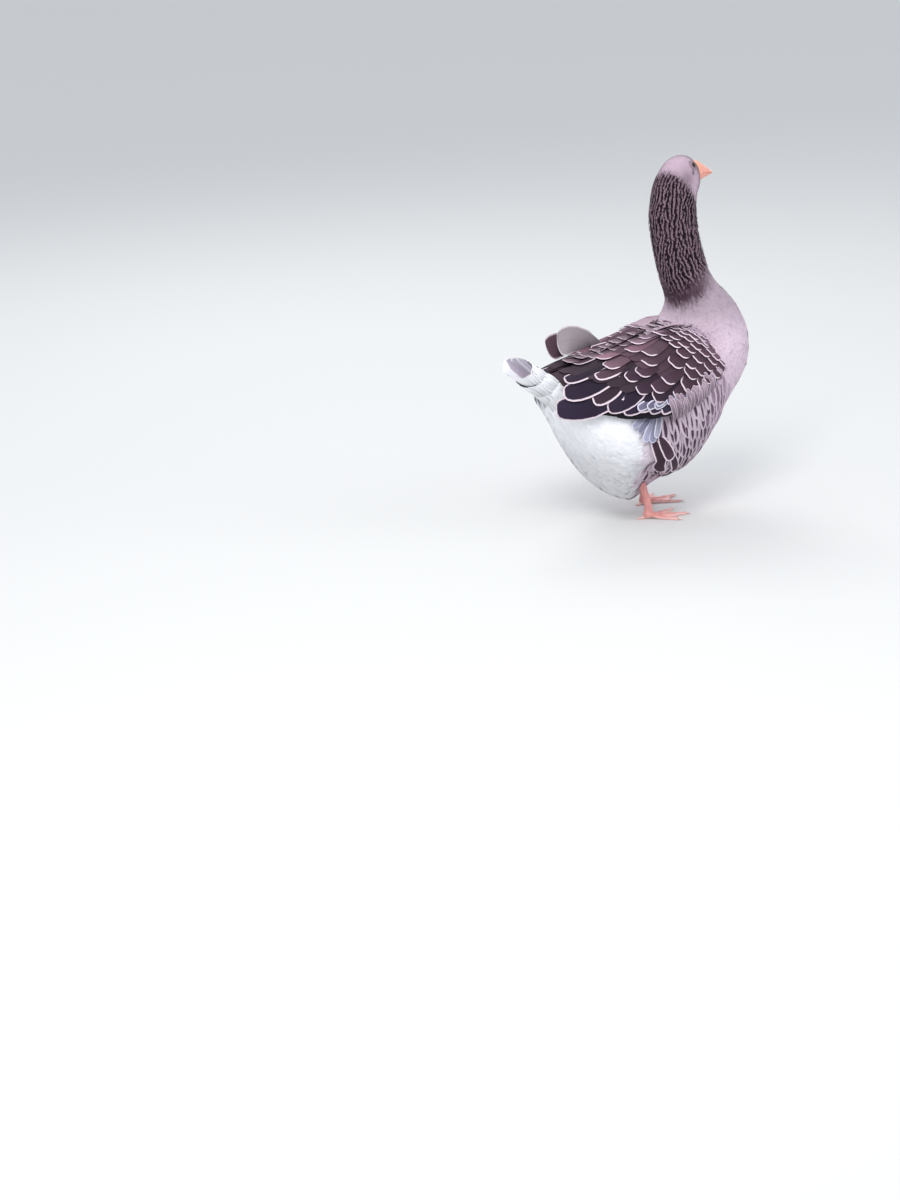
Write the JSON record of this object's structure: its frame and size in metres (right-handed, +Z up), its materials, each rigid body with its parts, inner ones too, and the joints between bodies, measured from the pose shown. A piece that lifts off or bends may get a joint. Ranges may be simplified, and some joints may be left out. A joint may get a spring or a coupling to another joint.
{
  "type": "toulouse goose",
  "caption": "Life-size still model of a standing grey Toulouse goose: tall furrowed neck, deep keel, folded wings, upright stance on webbed feet.",
  "frame": {"origin": "middle of the bounding box on the floor, at the level of the soles", "axes": "+X the way the bird faces, +Y its left, +Z up"},
  "size_m": [0.541, 0.2976, 0.7055],
  "materials": {
    "grey_plumage": "soft grey body feathers, white on belly and vent",
    "neck_plumage": "dark furrowed neck feathers with pale tips",
    "head_plumage": "short velvety pale grey-brown feathers",
    "eye": "wet dark brown",
    "bill": "satin orange horn with a pale nail",
    "wing_plumage": "grey-brown flight feathers and coverts with pale rims",
    "tail_plumage": "white and grey tail feathers",
    "leg_skin": "orange scaled skin",
    "claw": "pale horn"
  },
  "bodies": {
    "root": {"torso": "grey_plumage", "neck": "neck_plumage", "head": "head_plumage", "eye_left": "eye", "eye_right": "eye", "bill_upper": "bill", "bill_lower": "bill", "wing_left": "wing_plumage", "wing_right": "wing_plumage", "tail": "tail_plumage", "leg_left": "leg_skin", "leg_right": "leg_skin", "foot_left": "leg_skin", "foot_right": "leg_skin", "claw_left_inner": "claw", "claw_left_middle": "claw", "claw_left_outer": "claw", "claw_right_inner": "claw", "claw_right_middle": "claw", "claw_right_outer": "claw"}
  },
  "joints": []
}
